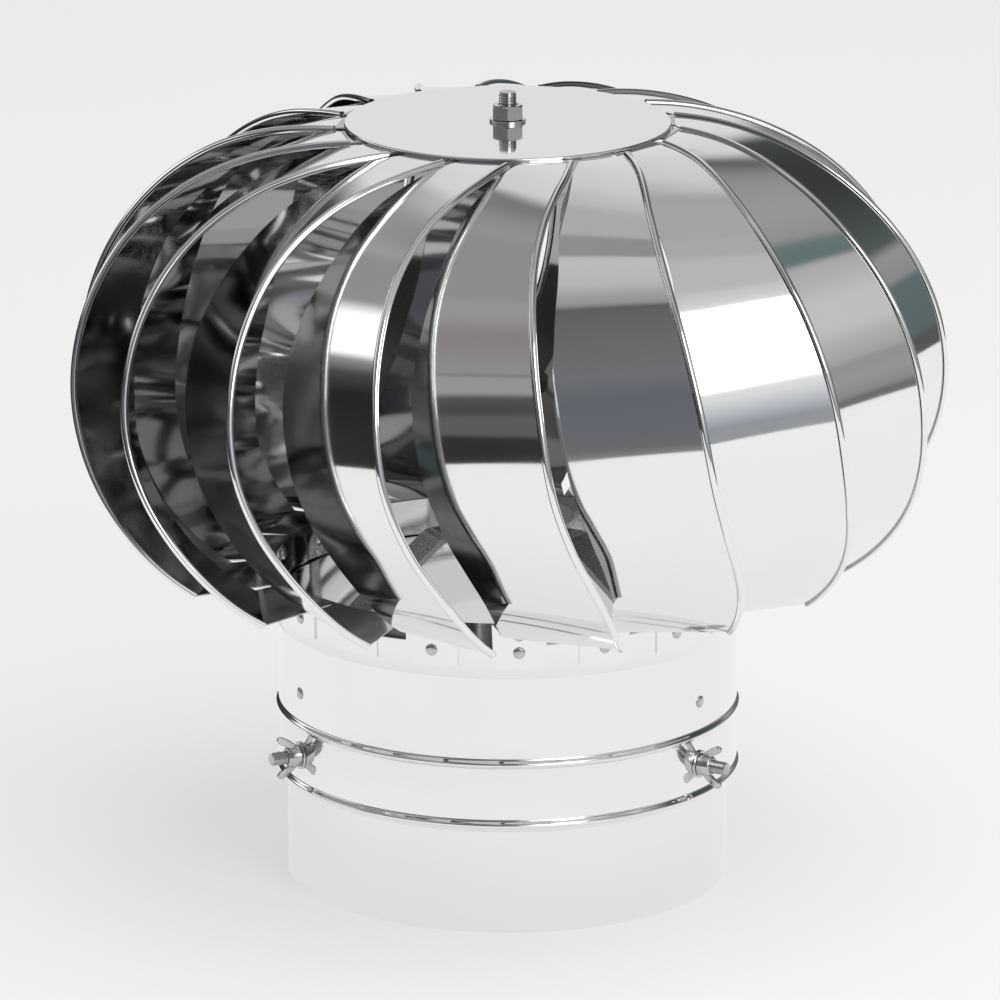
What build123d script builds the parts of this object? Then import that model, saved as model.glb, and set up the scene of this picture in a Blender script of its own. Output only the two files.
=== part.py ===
"""Roof turbine ventilator for a 200 mm round duct.

A fixed collar pushes into the duct.  Three straps bolted inside it carry a bearing
housing on the axis.  A threaded shaft turns in two ball bearings and carries the head:
a hub plate under a cover disc, a ring of curved vanes, and a ring that skirts the collar.

Millimetres, +Z up, origin on the axis at the collar's bottom rim.  The front is -Y, and
azimuths are counted from the front towards +X.
"""
import os
from math import asin, atan2, cos, degrees, radians, sin, sqrt

from build123d import *

os.makedirs("parts", exist_ok=True)

# ------------------------------------------------------------------ driving dimensions
# Collar: spigot for the duct, two pressed beads, plain neck
duct_bore = 200.0
duct_clearance = 0.5
collar_sheet = 0.8
spigot_length = 51.0
band_width = 28.0
neck_step = 3.5
collar_height = 127.0
bead_depth = 1.8

# Straps that carry the bearings
leg_azimuths = (-64.0, 56.0, 176.0)
leg_width = 18.0
leg_sheet = 2.5
leg_foot_base = 56.0
leg_foot_top = 106.0
leg_bolt_height = 65.0
leg_rivet_height = 94.0
leg_seat_height = 160.0
leg_bend_radius = 8.0
leg_end_reach = 17.0
leg_bend_reach = 36.0

# Bearing housing and its screws
housing_radius = 15.0
housing_base = 136.0
housing_top = 226.0
housing_bore_radius = 9.5
flange_radius = 30.0
flange_thickness = 4.0
leg_screw_reach = 24.0
leg_screw_radius = 2.0
leg_screw_showing = 1.5

# Ball bearings, 8 x 22 x 7
bearing_radius = 11.0
bearing_width = 7.0
inner_race_radius = 5.5
outer_race_radius = 9.6
race_shoulder = 0.1
ball_radius = 1.985
ball_count = 7
circlip_thickness = 1.2
circlip_width = 1.9
circlip_groove = 0.6
end_margin = 2.5

# Shaft, M8, and what clamps on it
shaft_radius = 4.0
shaft_base = 129.5
shaft_top = 358.4
shaft_chamfer = 0.8
nut_flats = 13.0
nut_height = 6.5
washer_radius = 8.0
washer_thickness = 1.2

# Fixings of the straps, M6 with wing nuts
bolt_radius = 3.0
bolt_head_flats = 10.0
bolt_head_height = 4.0
bolt_showing = 14.5
wing_span = 20.0
wing_height = 10.5
wing_thickness = 1.8
wing_hub_radius = 5.0
wing_hub_height = 6.0
wing_root_height = 0.8
wing_root_inset = 0.6
wing_tip_inset = 0.4
wing_saddle_drop = 1.0
wing_saddle_inset = 1.6
rivet_radius = 1.6
rivet_head_radius = 2.7
rivet_head_height = 0.9
rivet_tail_height = 0.7

# Head
vane_count = 17
vane_sheet = 0.6
vane_bead_radius = 1.7
head_radius = 195.0
equator_height = 230.0
lower_quarter_share = 0.86
hub_level = 342.6
hub_radius = 68.0
hub_sheet = 1.0
disc_radius = 72.6
disc_sheet = 0.8
disc_rise = 1.8
disc_lip = 1.6
disc_edge_round = 0.5

# Ring that skirts the collar
ring_gap = 1.0
ring_sheet = 0.8
ring_width = 25.0
ring_overlap = 8.0

# Vane ends
foot_width = 24.0
foot_offset = 5.0
foot_length = 20.0
foot_rivet_drops = (13.0, 5.0)
tab_width = 15.0
tab_end_reach = 54.0
tab_neck_reach = 66.0
tab_rivet_reach = 60.0

# Fits
seat_gap = 0.02

# The lower outline is a quarter ellipse, of which the vanes use the named share of the
# height before they turn in over the ring.
#
# Each vane station: latitude on the head's outline (0 at the equator, 90 at the disc,
# -90 at the ring), offset of the outer edge to the right of the vane's own azimuth,
# width across the vane, and its angle to the head's tangent.
vane_stations = (
    (-45.0, 44.5, 58.0, 6.0),
    (-30.0, 37.0, 57.5, 10.5),
    (-15.0, 26.0, 57.5, 18.0),
    (0.0, 17.0, 60.0, 24.0),
    (15.0, 12.2, 62.0, 28.0),
    (30.0, 10.4, 54.5, 29.0),
    (45.0, 11.2, 44.5, 28.0),
    (60.0, 15.4, 37.0, 29.0),
    (71.0, 20.6, 30.5, 26.0),
    (80.0, 25.0, 25.5, 13.0),
    (88.0, 27.3, 21.5, -6.0),
)
vane_end_offset = 48.5
vane_end_width = 58.0
vane_end_angle = 5.0

# ------------------------------------------------------------------ derived dimensions
spigot_radius = duct_bore / 2 - duct_clearance
neck_radius = spigot_radius + neck_step
bolt_end_reach = neck_radius + bolt_showing
ring_base = collar_height - ring_overlap
vane_end_height = ring_base + ring_width
foot_base = vane_end_height - foot_length
foot_rivet_heights = [vane_end_height - drop for drop in foot_rivet_drops]
head_drop = (equator_height - vane_end_height) / lower_quarter_share
neck_inner_radius = neck_radius - collar_sheet
lower_bead_height = spigot_length
upper_bead_height = spigot_length + band_width
leg_face_reach = sqrt(neck_inner_radius**2 - (leg_width / 2) ** 2) - seat_gap
leg_inner_reach = leg_face_reach - leg_sheet
lower_bearing_base = housing_base + end_margin
upper_bearing_base = housing_top - end_margin - bearing_width
ball_circle_radius = (inner_race_radius + outer_race_radius) / 2
spacer_radius = inner_race_radius - race_shoulder
ring_inner_radius = neck_radius + ring_gap
ring_radius = ring_inner_radius + ring_sheet
vane_pitch = 360.0 / vane_count
vane_top = hub_level + vane_sheet / 2
cover_level = hub_level + vane_sheet + disc_rise - disc_sheet
foot_reach = ring_radius + seat_gap
foot_azimuth = degrees(asin(foot_offset / foot_reach))


# ------------------------------------------------------------------ shared geometry
def outward(azimuth):
    """Unit vector from the axis towards an azimuth."""
    return Vector(sin(radians(azimuth)), -cos(radians(azimuth)), 0)


def sideways(azimuth):
    """Unit vector along the tangent at an azimuth, to the right seen from outside."""
    return Vector(cos(radians(azimuth)), sin(radians(azimuth)), 0)


def upright_plane(azimuth):
    """Plane through the axis: x runs outward and y runs up."""
    return Plane(origin=(0, 0, 0), x_dir=outward(azimuth), z_dir=-sideways(azimuth))


def facing_plane(azimuth, reach, height):
    """Plane square to an azimuth: z runs outward, x to the right and y up."""
    origin = outward(azimuth) * reach + Vector(0, 0, height)
    return Plane(origin=origin, x_dir=sideways(azimuth), z_dir=outward(azimuth))


def outline_point(latitude):
    """Reach and height of the head's outline, two quarter ellipses about the equator."""
    if latitude >= 0:
        reach = disc_radius + (head_radius - disc_radius) * cos(radians(latitude))
        height = equator_height + (vane_top - equator_height) * sin(radians(latitude))
    else:
        reach = ring_radius + (head_radius - ring_radius) * cos(radians(latitude))
        height = equator_height + head_drop * sin(radians(latitude))
    return reach, height


def vane_edges(latitude, offset, width, angle):
    """Outer and inner edge points of the front vane at one station."""
    reach, height = outline_point(latitude)
    outer = Vector(offset, -sqrt(reach**2 - offset**2), height)
    across = Vector(cos(radians(angle)), -sin(radians(angle)), 0)
    return outer, outer - across * width


# The tab at a vane's top lies on the azimuth of the top station's middle.
top_outer, top_inner = vane_edges(*vane_stations[-1])
tab_azimuth = degrees(atan2(top_outer.X + top_inner.X, -top_outer.Y - top_inner.Y))


def ring_of(radius_in, radius_out, base, height):
    """Plain ring about the axis, added to the part being built."""
    with BuildSketch(Plane.XY.offset(base)) as profile:
        Circle(radius_out)
        Circle(radius_in, mode=Mode.SUBTRACT)
    extrude(profile.sketch, amount=height)


# ------------------------------------------------------------------ collar
with BuildPart() as collar:
    spigot_line = spigot_radius - collar_sheet / 2
    neck_line = neck_radius - collar_sheet / 2
    with BuildSketch(Plane.XZ):
        with BuildLine():
            Line((spigot_line, 0), (spigot_line, lower_bead_height - 2 * bead_depth))
            Line(
                (spigot_line, lower_bead_height - 2 * bead_depth),
                (neck_line, lower_bead_height - bead_depth),
            )
            ThreePointArc(
                (neck_line, lower_bead_height - bead_depth),
                (neck_line + bead_depth, lower_bead_height),
                (neck_line, lower_bead_height + bead_depth),
            )
            Line(
                (neck_line, lower_bead_height + bead_depth),
                (neck_line, upper_bead_height - bead_depth),
            )
            ThreePointArc(
                (neck_line, upper_bead_height - bead_depth),
                (neck_line + bead_depth, upper_bead_height),
                (neck_line, upper_bead_height + bead_depth),
            )
            Line((neck_line, upper_bead_height + bead_depth), (neck_line, collar_height))
        trace(line_width=collar_sheet)
    revolve(axis=Axis.Z)
    for azimuth in leg_azimuths:
        for height, radius in ((leg_bolt_height, bolt_radius), (leg_rivet_height, rivet_radius)):
            with BuildSketch(facing_plane(azimuth, neck_radius, height)):
                Circle(radius + seat_gap)
            extrude(amount=2 * collar_sheet, both=True, mode=Mode.SUBTRACT)
collar.part.label = "collar"
export_step(collar.part, "parts/collar.step")

# ------------------------------------------------------------------ spider legs
# Flat bar, bent: a foot bolted inside the neck, a rise inward, and a level end that
# the housing's flange sits on.
for number, azimuth in enumerate(leg_azimuths, start=1):
    with BuildPart() as spider_leg:
        foot_line = leg_face_reach - leg_sheet / 2
        end_line = leg_seat_height - leg_sheet / 2
        with BuildSketch(upright_plane(azimuth)):
            with BuildLine():
                FilletPolyline(
                    (foot_line, leg_foot_base),
                    (foot_line, leg_foot_top),
                    (leg_bend_reach, end_line),
                    (leg_end_reach, end_line),
                    radius=leg_bend_radius,
                )
            trace(line_width=leg_sheet)
        extrude(amount=leg_width / 2, both=True)
        for height, radius in ((leg_bolt_height, bolt_radius), (leg_rivet_height, rivet_radius)):
            with BuildSketch(facing_plane(azimuth, leg_face_reach, height)):
                Circle(radius + seat_gap)
            extrude(amount=2 * leg_sheet, both=True, mode=Mode.SUBTRACT)
        screw_spot = outward(azimuth) * leg_screw_reach
        with BuildSketch(Plane(origin=(screw_spot.X, screw_spot.Y, leg_seat_height))):
            Circle(leg_screw_radius + seat_gap)
        extrude(amount=2 * leg_sheet, both=True, mode=Mode.SUBTRACT)
    spider_leg.part.label = f"spider_leg_{number}"
    export_step(spider_leg.part, f"parts/spider_leg_{number}.step")

# ------------------------------------------------------------------ bearing housing
with BuildPart() as bearing_housing:
    with BuildSketch(Plane.XY.offset(housing_base)):
        Circle(housing_radius)
    extrude(amount=housing_top - housing_base)
    with BuildSketch(Plane.XY.offset(leg_seat_height)):
        Circle(flange_radius)
    extrude(amount=flange_thickness)
    with BuildSketch(Plane.XY.offset(housing_base)):
        Circle(housing_bore_radius)
    extrude(amount=housing_top - housing_base, mode=Mode.SUBTRACT)
    pocket = end_margin + bearing_width
    for pocket_base in (housing_base, housing_top - pocket):
        with BuildSketch(Plane.XY.offset(pocket_base)):
            Circle(bearing_radius + seat_gap)
        extrude(amount=pocket, mode=Mode.SUBTRACT)
    groove_bases = (
        lower_bearing_base - seat_gap - circlip_thickness,
        upper_bearing_base + bearing_width + seat_gap,
    )
    for groove_base in groove_bases:
        with BuildSketch(Plane.XY.offset(groove_base)):
            Circle(bearing_radius + circlip_groove + seat_gap)
        extrude(amount=circlip_thickness, mode=Mode.SUBTRACT)
    for azimuth in leg_azimuths:
        screw_spot = outward(azimuth) * leg_screw_reach
        with BuildSketch(Plane(origin=(screw_spot.X, screw_spot.Y, leg_seat_height))):
            Circle(leg_screw_radius + seat_gap)
        extrude(amount=flange_thickness, mode=Mode.SUBTRACT)
bearing_housing.part.label = "bearing_housing"
export_step(bearing_housing.part, "parts/bearing_housing.step")

# ------------------------------------------------------------------ ball bearings
with BuildPart() as bearing_outer_rings:
    for bearing_base in (lower_bearing_base, upper_bearing_base):
        ring_of(outer_race_radius, bearing_radius, bearing_base, bearing_width)
bearing_outer_rings.part.label = "bearing_outer_rings"
export_step(bearing_outer_rings.part, "parts/bearing_outer_rings.step")

with BuildPart() as bearing_inner_rings:
    for bearing_base in (lower_bearing_base, upper_bearing_base):
        ring_of(shaft_radius + seat_gap, inner_race_radius, bearing_base, bearing_width)
bearing_inner_rings.part.label = "bearing_inner_rings"
export_step(bearing_inner_rings.part, "parts/bearing_inner_rings.step")

ball_levels = [base + bearing_width / 2 for base in (lower_bearing_base, upper_bearing_base)]
with BuildPart() as bearing_balls:
    for level in ball_levels:
        with Locations(Location((0, 0, level))):
            with PolarLocations(ball_circle_radius, ball_count):
                Sphere(ball_radius)
bearing_balls.part.label = "bearing_balls"
export_step(bearing_balls.part, "parts/bearing_balls.step")

# Each cage is a ring between the races with a pocket round every ball.
cage_half_width = 0.7
cage_rim = 0.9
cage_half_height = ball_radius + cage_rim
with BuildPart() as bearing_cages:
    for level in ball_levels:
        ring_of(
            ball_circle_radius - cage_half_width,
            ball_circle_radius + cage_half_width,
            level - cage_half_height,
            2 * cage_half_height,
        )
    for level in ball_levels:
        with Locations(Location((0, 0, level))):
            with PolarLocations(ball_circle_radius, ball_count):
                Cylinder(
                    ball_radius + seat_gap,
                    4 * cage_half_width,
                    rotation=(0, 90, 0),
                    mode=Mode.SUBTRACT,
                )
bearing_cages.part.label = "bearing_cages"
export_step(bearing_cages.part, "parts/bearing_cages.step")

# Split rings that hold the bearings in the housing.
circlip_gap_width = 7.0
with BuildPart() as circlips:
    for groove_base in groove_bases:
        with BuildSketch(Plane.XY.offset(groove_base)):
            Circle(bearing_radius + circlip_groove)
            Circle(bearing_radius + circlip_groove - circlip_width, mode=Mode.SUBTRACT)
            with Locations((0, bearing_radius)):
                Rectangle(circlip_gap_width, 2 * circlip_width, mode=Mode.SUBTRACT)
        extrude(amount=circlip_thickness)
circlips.part.label = "circlips"
export_step(circlips.part, "parts/circlips.step")

# ------------------------------------------------------------------ strap screws and nuts
leg_screw_head_radius = 3.5
leg_screw_head_height = 2.6
leg_nut_flats = 7.0
leg_nut_height = 3.2
with BuildPart() as leg_screws:
    flange_top = leg_seat_height + flange_thickness
    screw_end = leg_seat_height - leg_sheet - leg_nut_height - leg_screw_showing
    for azimuth in leg_azimuths:
        spot = outward(azimuth) * leg_screw_reach
        with BuildSketch(Plane(origin=(spot.X, spot.Y, flange_top))):
            Circle(leg_screw_head_radius)
        extrude(amount=leg_screw_head_height)
        with BuildSketch(Plane(origin=(spot.X, spot.Y, screw_end))):
            Circle(leg_screw_radius)
        extrude(amount=flange_top - screw_end)
leg_screws.part.label = "leg_screws"
export_step(leg_screws.part, "parts/leg_screws.step")

with BuildPart() as leg_nuts:
    for azimuth in leg_azimuths:
        spot = outward(azimuth) * leg_screw_reach
        nut_base = leg_seat_height - leg_sheet - leg_nut_height
        with BuildSketch(Plane(origin=(spot.X, spot.Y, nut_base))):
            RegularPolygon(leg_nut_flats / 2, 6, major_radius=False)
            Circle(leg_screw_radius + seat_gap, mode=Mode.SUBTRACT)
        extrude(amount=leg_nut_height)
leg_nuts.part.label = "leg_nuts"
export_step(leg_nuts.part, "parts/leg_nuts.step")

# ------------------------------------------------------------------ collar fixings
with BuildPart() as spider_bolts:
    for azimuth in leg_azimuths:
        with BuildSketch(facing_plane(azimuth, leg_inner_reach - bolt_head_height, leg_bolt_height)):
            RegularPolygon(bolt_head_flats / 2, 6, major_radius=False)
        extrude(amount=bolt_head_height)
        with BuildSketch(facing_plane(azimuth, leg_inner_reach, leg_bolt_height)):
            Circle(bolt_radius)
        extrude(amount=bolt_end_reach - leg_inner_reach)
spider_bolts.part.label = "spider_bolts"
export_step(spider_bolts.part, "parts/spider_bolts.step")

bolt_washer_radius = 6.2
bolt_washer_thickness = 1.0
with BuildPart() as bolt_washers:
    for azimuth in leg_azimuths:
        with BuildSketch(facing_plane(azimuth, neck_radius + seat_gap, leg_bolt_height)):
            Circle(bolt_washer_radius)
            Circle(bolt_radius + seat_gap, mode=Mode.SUBTRACT)
        extrude(amount=bolt_washer_thickness)
bolt_washers.part.label = "bolt_washers"
export_step(bolt_washers.part, "parts/bolt_washers.step")

# Wing nuts: a tapered hub and two rounded wings that stand up and down.
wing_seat = neck_radius + seat_gap + bolt_washer_thickness
wing_tip_radius = 3.2
wing_reach = wing_span / 2 - wing_tip_inset
wing_saddle_height = wing_hub_height - wing_saddle_drop
with BuildPart() as wing_nuts:
    for azimuth in leg_azimuths:
        hub_plane = facing_plane(azimuth, wing_seat, leg_bolt_height)
        with BuildSketch(hub_plane):
            Circle(wing_hub_radius)
        extrude(amount=wing_hub_height, taper=8)
        wing_plane = Plane(
            origin=hub_plane.origin,
            x_dir=outward(azimuth),
            z_dir=-sideways(azimuth),
        )
        with BuildSketch(wing_plane):
            with BuildLine():
                Polyline(
                    (wing_root_height, 0),
                    (wing_root_height, wing_hub_radius - wing_root_inset),
                    (wing_height - wing_tip_radius, wing_reach),
                )
                RadiusArc(
                    (wing_height - wing_tip_radius, wing_reach),
                    (wing_height, wing_reach - wing_tip_radius),
                    wing_tip_radius,
                )
                Polyline(
                    (wing_height, wing_reach - wing_tip_radius),
                    (wing_saddle_height, wing_hub_radius - wing_saddle_inset),
                    (wing_saddle_height, 0),
                    (wing_root_height, 0),
                )
            make_face()
            mirror(about=Plane.XZ)
        extrude(amount=wing_thickness / 2, both=True)
        with BuildSketch(hub_plane):
            Circle(bolt_radius + seat_gap)
        extrude(amount=2 * wing_height, mode=Mode.SUBTRACT)
wing_nuts.part.label = "wing_nuts"
export_step(wing_nuts.part, "parts/wing_nuts.step")

with BuildPart() as leg_rivets:
    for azimuth in leg_azimuths:
        with BuildSketch(facing_plane(azimuth, neck_radius + seat_gap, leg_rivet_height)):
            Circle(rivet_head_radius)
        extrude(amount=rivet_head_height)
        with BuildSketch(facing_plane(azimuth, leg_inner_reach, leg_rivet_height)):
            Circle(rivet_radius)
        extrude(amount=neck_radius + seat_gap - leg_inner_reach)
        tail_face = leg_inner_reach - rivet_tail_height
        with BuildSketch(facing_plane(azimuth, tail_face, leg_rivet_height)):
            Circle(rivet_head_radius)
        extrude(amount=rivet_tail_height)
leg_rivets.part.label = "leg_rivets"
export_step(leg_rivets.part, "parts/leg_rivets.step")

# ------------------------------------------------------------------ shaft and its stack
with BuildPart() as shaft:
    with BuildSketch(Plane.XY.offset(shaft_base)):
        Circle(shaft_radius)
    extrude(amount=shaft_top - shaft_base)
    chamfer(shaft.faces().sort_by(Axis.Z)[-1].edges(), length=shaft_chamfer)
    chamfer(shaft.faces().sort_by(Axis.Z)[0].edges(), length=shaft_chamfer)
shaft.part.label = "shaft"
export_step(shaft.part, "parts/shaft.step")

race_washer_thickness = 1.0
cap_seat = upper_bearing_base + bearing_width
cap_hub_height = 4.5
cap_overhang = 3.0
cap_radius = housing_radius + cap_overhang
cap_sheet = 1.2
cap_skirt = 5.0
with BuildPart() as dust_cap:
    cap_top = cap_seat + cap_hub_height
    with BuildSketch(Plane.XZ):
        with BuildLine():
            Polyline(
                (shaft_radius + seat_gap, cap_seat),
                (spacer_radius, cap_seat),
                (spacer_radius, cap_top - cap_sheet),
                (cap_radius - cap_sheet, cap_top - cap_sheet),
                (cap_radius - cap_sheet, cap_top - cap_skirt),
                (cap_radius, cap_top - cap_skirt),
                (cap_radius, cap_top),
                (shaft_radius + seat_gap, cap_top),
                close=True,
            )
        make_face()
    revolve(axis=Axis.Z)
dust_cap.part.label = "dust_cap"
export_step(dust_cap.part, "parts/dust_cap.step")

with BuildPart() as spacer_sleeve:
    sleeve_base = lower_bearing_base + bearing_width
    ring_of(shaft_radius + seat_gap, spacer_radius, sleeve_base, upper_bearing_base - sleeve_base)
spacer_sleeve.part.label = "spacer_sleeve"
export_step(spacer_sleeve.part, "parts/spacer_sleeve.step")

with BuildPart() as race_washer:
    washer_base = lower_bearing_base - race_washer_thickness
    ring_of(shaft_radius + seat_gap, spacer_radius, washer_base, race_washer_thickness)
race_washer.part.label = "race_washer"
export_step(race_washer.part, "parts/race_washer.step")

hub_underside = hub_level - hub_sheet
nut_bases = (
    lower_bearing_base - race_washer_thickness - nut_height,
    cap_seat + cap_hub_height,
    hub_underside - washer_thickness - nut_height,
    cover_level + disc_sheet + washer_thickness,
)
with BuildPart() as shaft_nuts:
    for nut_base in nut_bases:
        with BuildSketch(Plane.XY.offset(nut_base)):
            RegularPolygon(nut_flats / 2, 6, major_radius=False)
            Circle(shaft_radius + seat_gap, mode=Mode.SUBTRACT)
        extrude(amount=nut_height)
shaft_nuts.part.label = "shaft_nuts"
export_step(shaft_nuts.part, "parts/shaft_nuts.step")

with BuildPart() as shaft_washers:
    for washer_base in (hub_underside - washer_thickness, cover_level + disc_sheet):
        ring_of(shaft_radius + seat_gap, washer_radius, washer_base, washer_thickness)
shaft_washers.part.label = "shaft_washers"
export_step(shaft_washers.part, "parts/shaft_washers.step")

# ------------------------------------------------------------------ hub plate and cover
with BuildPart() as hub_plate:
    ring_of(shaft_radius + seat_gap, hub_radius, hub_underside, hub_sheet)
    for index in range(vane_count):
        spot = outward(tab_azimuth + index * vane_pitch) * tab_rivet_reach
        with BuildSketch(Plane(origin=(spot.X, spot.Y, hub_underside))):
            Circle(rivet_radius + seat_gap)
        extrude(amount=hub_sheet, mode=Mode.SUBTRACT)
hub_plate.part.label = "hub_plate"
export_step(hub_plate.part, "parts/hub_plate.step")

with BuildPart() as hub_spacer:
    ring_of(shaft_radius + seat_gap, 2 * shaft_radius, hub_level, cover_level - hub_level)
hub_spacer.part.label = "hub_spacer"
export_step(hub_spacer.part, "parts/hub_spacer.step")

# Cover disc, with a short lip turned down over the vanes.
with BuildPart() as top_disc:
    ring_of(shaft_radius + seat_gap, disc_radius, cover_level, disc_sheet)
    ring_of(disc_radius - disc_sheet, disc_radius, cover_level + disc_sheet - disc_lip, disc_lip)
    fillet(top_disc.faces().sort_by(Axis.Z)[-1].edges().sort_by(SortBy.RADIUS)[-1], radius=disc_edge_round)
top_disc.part.label = "top_disc"
export_step(top_disc.part, "parts/top_disc.step")

with BuildPart() as upper_rivets:
    for index in range(vane_count):
        spot = outward(tab_azimuth + index * vane_pitch) * tab_rivet_reach
        head_base = hub_level + vane_sheet
        tail_base = hub_underside - rivet_tail_height
        with BuildSketch(Plane(origin=(spot.X, spot.Y, head_base))):
            Circle(rivet_head_radius)
        extrude(amount=rivet_head_height)
        with BuildSketch(Plane(origin=(spot.X, spot.Y, hub_underside))):
            Circle(rivet_radius)
        extrude(amount=head_base - hub_underside)
        with BuildSketch(Plane(origin=(spot.X, spot.Y, tail_base))):
            Circle(rivet_head_radius)
        extrude(amount=rivet_tail_height)
upper_rivets.part.label = "upper_rivets"
export_step(upper_rivets.part, "parts/upper_rivets.step")

# ------------------------------------------------------------------ bottom ring
with BuildPart() as bottom_ring:
    ring_of(ring_inner_radius, ring_radius, ring_base, vane_end_height - ring_base)
    for index in range(vane_count):
        for height in foot_rivet_heights:
            azimuth = foot_azimuth + index * vane_pitch
            with BuildSketch(facing_plane(azimuth, ring_radius, height)):
                Circle(rivet_radius + seat_gap)
            extrude(amount=2 * ring_sheet, both=True, mode=Mode.SUBTRACT)
bottom_ring.part.label = "bottom_ring"
export_step(bottom_ring.part, "parts/bottom_ring.step")

# The tails are flat, so they seat a little inside the ring's round inner face.
tail_seat = sqrt(ring_inner_radius**2 - rivet_head_radius**2)
with BuildPart() as lower_rivets:
    for index in range(vane_count):
        for height in foot_rivet_heights:
            azimuth = foot_azimuth + index * vane_pitch
            head_reach = foot_reach + vane_sheet
            with BuildSketch(facing_plane(azimuth, head_reach, height)):
                Circle(rivet_head_radius)
            extrude(amount=rivet_head_height)
            with BuildSketch(facing_plane(azimuth, tail_seat, height)):
                Circle(rivet_radius)
            extrude(amount=head_reach - tail_seat)
            with BuildSketch(facing_plane(azimuth, tail_seat - rivet_tail_height, height)):
                Circle(rivet_head_radius)
            extrude(amount=rivet_tail_height)
lower_rivets.part.label = "lower_rivets"
export_step(lower_rivets.part, "parts/lower_rivets.step")

# ------------------------------------------------------------------ vanes
# Each vane is a strip of sheet ruled between two edges.  A bead is rolled along the
# outer edge.  The top ends in a flat tab under the cover disc, and the lower end in a
# level flange with a foot bent down over the ring.
end_latitude = -degrees(asin(lower_quarter_share))
stations = [(end_latitude, vane_end_offset, vane_end_width, vane_end_angle), *vane_stations]
edge_pairs = [vane_edges(*station) for station in stations]
outer_points = [pair[0] for pair in edge_pairs]
inner_points = [pair[1] for pair in edge_pairs]
middles = [(outer + inner) * 0.5 for outer, inner in edge_pairs]


def along_vane(index):
    """Direction of the vane's length at a station, square to its width."""
    before = middles[max(index - 1, 0)]
    after = middles[min(index + 1, len(middles) - 1)]
    across = (outer_points[index] - inner_points[index]).normalized()
    run = after - before
    return (run - across * run.dot(across)).normalized()


def plan_corner(azimuth, reach, side):
    """Point in plan at a reach along an azimuth, moved sideways."""
    point = outward(azimuth) * reach + sideways(azimuth) * side
    return (point.X, point.Y)


with BuildPart() as first_vane:
    for index, (outer, inner) in enumerate(edge_pairs):
        section = Plane(origin=middles[index], x_dir=outer - inner, z_dir=along_vane(index))
        with BuildSketch(section):
            Rectangle((outer - inner).length, vane_sheet)
    loft()
    with BuildLine() as bead_path:
        Spline(*outer_points)
    with BuildSketch(Plane(origin=bead_path.line @ 0, z_dir=bead_path.line % 0)):
        Circle(vane_bead_radius)
    sweep(path=bead_path.line)
    # Tab under the cover disc
    with BuildSketch(Plane.XY.offset(vane_top - vane_sheet / 2)):
        with BuildLine():
            Polyline(
                (inner_points[-1].X, inner_points[-1].Y),
                (outer_points[-1].X, outer_points[-1].Y),
                plan_corner(tab_azimuth, tab_neck_reach, tab_width / 2),
                plan_corner(tab_azimuth, tab_end_reach, tab_width / 2),
                plan_corner(tab_azimuth, tab_end_reach, -tab_width / 2),
                plan_corner(tab_azimuth, tab_neck_reach, -tab_width / 2),
                close=True,
            )
        make_face()
        with Locations(plan_corner(tab_azimuth, tab_rivet_reach, 0)):
            Circle(rivet_radius + seat_gap, mode=Mode.SUBTRACT)
    extrude(amount=vane_sheet)
    # Level flange and foot
    with BuildSketch(Plane.XY.offset(vane_end_height - vane_sheet / 2)):
        with BuildLine():
            Polyline(
                (inner_points[0].X, inner_points[0].Y - vane_sheet),
                (outer_points[0].X, outer_points[0].Y - vane_sheet),
                plan_corner(foot_azimuth, foot_reach, foot_width / 2),
                plan_corner(foot_azimuth, foot_reach, -foot_width / 2),
                close=True,
            )
        make_face()
    extrude(amount=vane_sheet)
    foot_height = vane_end_height + vane_sheet / 2 - foot_base
    foot_plane = facing_plane(foot_azimuth, foot_reach, foot_base + foot_height / 2)
    with BuildSketch(foot_plane):
        Rectangle(foot_width, foot_height)
        for height in foot_rivet_heights:
            with Locations((0, height - foot_base - foot_height / 2)):
                Circle(rivet_radius + seat_gap, mode=Mode.SUBTRACT)
    extrude(amount=vane_sheet)

for index in range(vane_count):
    with BuildPart() as blade:
        add(first_vane.part, rotation=(0, 0, index * vane_pitch))
    blade.part.label = f"blade_{index + 1:02d}"
    export_step(blade.part, f"parts/blade_{index + 1:02d}.step")
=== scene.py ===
"""Roof turbine ventilator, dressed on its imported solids.

Everything is in metres in the frame of the solids: +Z up, the origin on the axis at the
collar's bottom rim, the front towards -Y, and azimuths from the front towards +X.
"""
from math import asin, atan2, cos, degrees, pi, radians, sin, sqrt

import bmesh
import bpy
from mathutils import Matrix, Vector


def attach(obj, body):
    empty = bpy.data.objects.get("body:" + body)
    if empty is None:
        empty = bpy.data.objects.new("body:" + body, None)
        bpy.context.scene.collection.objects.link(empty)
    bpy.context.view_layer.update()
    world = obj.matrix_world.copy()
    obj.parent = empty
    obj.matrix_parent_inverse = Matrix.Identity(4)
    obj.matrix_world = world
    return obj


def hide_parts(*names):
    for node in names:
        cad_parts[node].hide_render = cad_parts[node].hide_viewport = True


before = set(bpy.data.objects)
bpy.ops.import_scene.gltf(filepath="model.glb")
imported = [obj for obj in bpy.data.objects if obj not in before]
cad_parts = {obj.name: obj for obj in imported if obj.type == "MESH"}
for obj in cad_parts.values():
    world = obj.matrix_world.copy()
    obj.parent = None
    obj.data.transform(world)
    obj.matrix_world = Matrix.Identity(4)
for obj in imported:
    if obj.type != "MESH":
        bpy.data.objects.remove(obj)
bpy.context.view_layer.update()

scene = bpy.context.scene
mm = 0.001

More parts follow.
